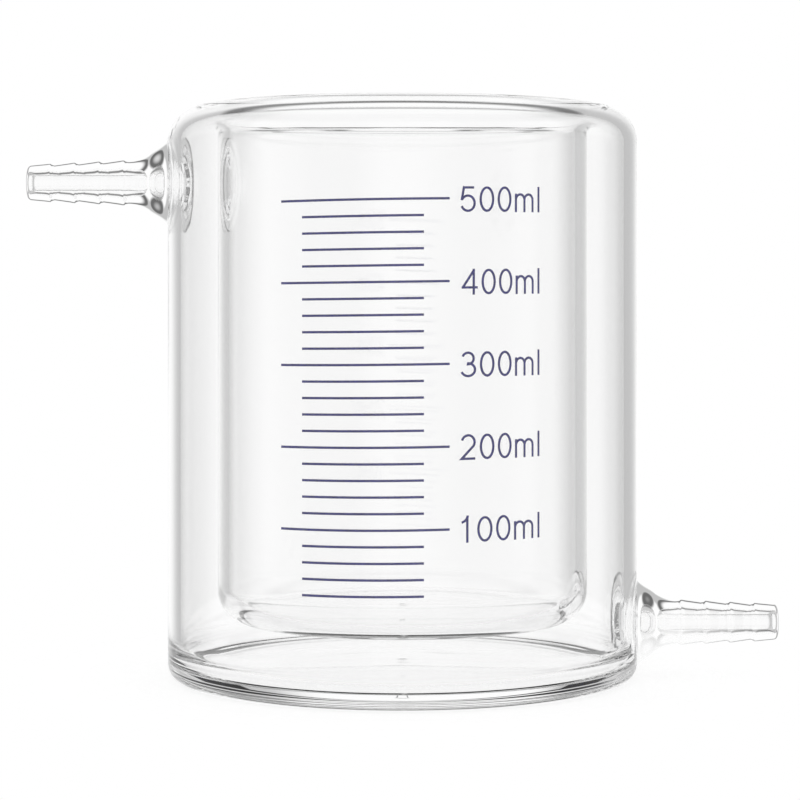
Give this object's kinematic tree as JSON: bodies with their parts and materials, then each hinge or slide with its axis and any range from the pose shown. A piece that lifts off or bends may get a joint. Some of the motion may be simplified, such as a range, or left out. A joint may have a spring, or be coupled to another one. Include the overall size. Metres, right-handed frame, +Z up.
{
  "type": "jacketed beaker",
  "caption": "Double-walled glass beaker with a round rim, a flat base, a low and a high serrated hose nozzle for a heating or cooling liquid, and a volume scale.",
  "frame": {"origin": "on the standing plane, on the axis of the vessel", "axes": "+Z up along the vessel's axis, +X along the inlet nozzle, -X along the outlet nozzle, the scale faces -Y"},
  "size_m": [0.18, 0.1122, 0.1362],
  "materials": {
    "borosilicate_glass": "clear, fire-polished",
    "blue_enamel": "fired, satin"
  },
  "bodies": {
    "root": {"inner_vessel": "borosilicate_glass", "outer_jacket": "borosilicate_glass", "inlet_nozzle": "borosilicate_glass", "outlet_nozzle": "borosilicate_glass", "line_100_ml": "blue_enamel", "line_200_ml": "blue_enamel", "line_300_ml": "blue_enamel", "line_400_ml": "blue_enamel", "line_500_ml": "blue_enamel", "lines_20_to_80_ml": "blue_enamel", "lines_120_to_180_ml": "blue_enamel", "lines_220_to_280_ml": "blue_enamel", "lines_320_to_380_ml": "blue_enamel", "lines_420_to_480_ml": "blue_enamel"}
  },
  "joints": []
}
